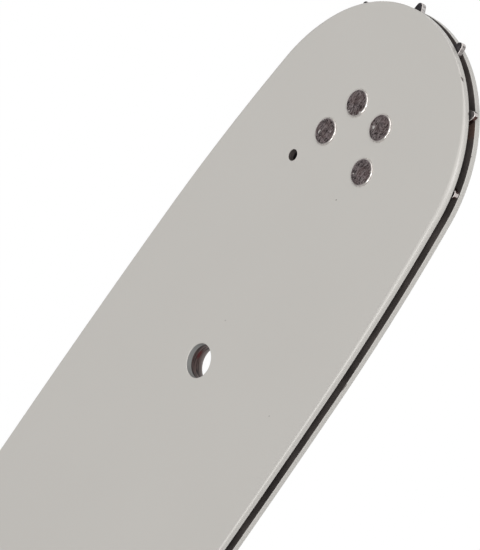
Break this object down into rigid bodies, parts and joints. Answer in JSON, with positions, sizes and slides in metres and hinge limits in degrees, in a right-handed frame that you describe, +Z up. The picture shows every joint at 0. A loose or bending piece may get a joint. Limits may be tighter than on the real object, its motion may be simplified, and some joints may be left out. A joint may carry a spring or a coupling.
{
  "type": "chainsaw guide bar",
  "caption": "Flat laminated guide bar with a chain groove round its edge, a toothed sprocket that turns on rollers in its nose, and a slotted tail for mounting on a saw.",
  "frame": {"origin": "on the back face, in the middle of the whole length", "axes": "+X from the tail to the nose, +Y across the bar, +Z up through the plates"},
  "size_m": [0.4626, 0.0696, 0.0044],
  "materials": {
    "side_plate_paint": "satin silver-grey paint",
    "core_steel": "dark oiled steel",
    "sprocket_steel": "hardened steel with polished tooth flanks",
    "bearing_steel": "ground bearing steel",
    "rivet_steel": "ground steel with fine scratches"
  },
  "bodies": {
    "bar": {"front_side_plate": "side_plate_paint", "back_side_plate": "side_plate_paint", "core_plate": "core_steel", "bearing_race": "bearing_steel", "nose_rivets": "rivet_steel"},
    "sprocket": {"nose_sprocket": "sprocket_steel"},
    "roller_ring": {"bearing_roller_01": "bearing_steel", "bearing_roller_02": "bearing_steel", "bearing_roller_03": "bearing_steel", "bearing_roller_04": "bearing_steel", "bearing_roller_05": "bearing_steel", "bearing_roller_06": "bearing_steel", "bearing_roller_07": "bearing_steel", "bearing_roller_08": "bearing_steel", "bearing_roller_09": "bearing_steel", "bearing_roller_10": "bearing_steel", "bearing_roller_11": "bearing_steel", "bearing_roller_12": "bearing_steel", "bearing_roller_13": "bearing_steel", "bearing_roller_14": "bearing_steel", "bearing_roller_15": "bearing_steel", "bearing_roller_16": "bearing_steel", "bearing_roller_17": "bearing_steel", "bearing_roller_18": "bearing_steel", "bearing_roller_19": "bearing_steel", "bearing_roller_20": "bearing_steel", "bearing_roller_21": "bearing_steel", "bearing_roller_22": "bearing_steel"}
  },
  "joints": [
    {"name": "sprocket_spin", "type": "hinge", "parent": "bar", "child": "sprocket", "pos_m": [0.20287, 0, 0.0022], "axis": [0, 0, 1], "continuous": true},
    {"name": "roller_orbit", "type": "hinge", "parent": "bar", "child": "roller_ring", "pos_m": [0.20287, 0, 0.0022], "axis": [0, 0, 1], "continuous": true}
  ],
  "couplings": [
    {"joint": "roller_orbit", "follows": "sprocket_spin", "ratio": 0.57034}
  ]
}
